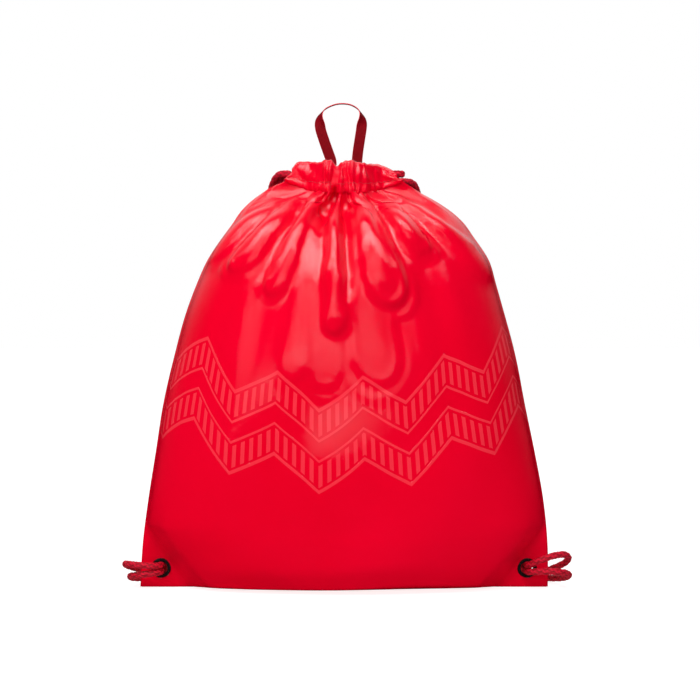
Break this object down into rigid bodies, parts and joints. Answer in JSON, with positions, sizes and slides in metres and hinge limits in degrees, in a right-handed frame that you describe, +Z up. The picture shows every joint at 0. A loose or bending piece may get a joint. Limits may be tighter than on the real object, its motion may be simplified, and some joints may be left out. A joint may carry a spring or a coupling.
{
  "type": "drawstring backpack",
  "caption": "Filled fabric drawstring backpack standing upright, its mouth drawn shut by two cords that form the shoulder straps, with a ribbon hang loop and corner eyelets.",
  "frame": {"origin": "on the floor under the middle of the standing bag: the bottom centre of its box, without the free cords", "axes": "+Z up, -Y the front, +X to the right as seen from the front"},
  "size_m": [0.3856, 0.2073, 0.4169],
  "materials": {
    "shell_fabric": "glossy coated woven polyester",
    "seam_fabric": "matt overlocked fabric edge",
    "cord": "matt braided polyester",
    "ribbon": "satin woven ribbon",
    "thread": "matt polyester thread",
    "eyelet_metal": "glossy black enamel"
  },
  "bodies": {
    "bag": {"front_panel": "shell_fabric", "back_panel": "shell_fabric", "left_side_overlock": "seam_fabric", "right_side_overlock": "seam_fabric", "bottom_overlock": "seam_fabric", "left_corner_patch": "seam_fabric", "right_corner_patch": "seam_fabric", "left_eyelet": "eyelet_metal", "right_eyelet": "eyelet_metal", "left_eyelet_washer": "eyelet_metal", "right_eyelet_washer": "eyelet_metal", "left_drawcord_bend": "cord", "right_drawcord_bend": "cord", "left_strap_front_strand": "cord", "left_strap_back_strand": "cord", "right_strap_front_strand": "cord", "right_strap_back_strand": "cord", "left_strap_knot": "cord", "right_strap_knot": "cord"},
    "front_lip": {"front_casing": "shell_fabric", "front_casing_stitch": "thread", "left_drawcord_front_run": "cord", "right_drawcord_front_run": "cord"},
    "back_lip": {"back_casing": "shell_fabric", "back_casing_stitch": "thread", "left_drawcord_back_run": "cord", "right_drawcord_back_run": "cord", "hang_loop_left_end": "ribbon", "hang_loop_right_end": "ribbon", "hang_loop_left_tack": "thread", "hang_loop_right_tack": "thread"},
    "loop": {"hang_loop": "ribbon"}
  },
  "joints": [
    {"name": "front_lip_tilt", "type": "hinge", "parent": "bag", "child": "front_lip", "pos_m": [0, -0.0245, 0.3383], "axis": [1, 0, 0], "range_deg": [0, 22], "stiffness_Nm_per_rad": 0.02},
    {"name": "back_lip_tilt", "type": "hinge", "parent": "bag", "child": "back_lip", "pos_m": [0, 0.0245, 0.3383], "axis": [1, 0, 0], "range_deg": [-22, 0], "stiffness_Nm_per_rad": 0.02},
    {"name": "hang_loop_flop", "type": "hinge", "parent": "back_lip", "child": "loop", "pos_m": [0, 0.0254, 0.3633], "axis": [1, 0, 0], "range_deg": [-100, 60], "stiffness_Nm_per_rad": 0.003}
  ],
  "couplings": [
    {"joint": "back_lip_tilt", "follows": "front_lip_tilt", "ratio": -1}
  ]
}
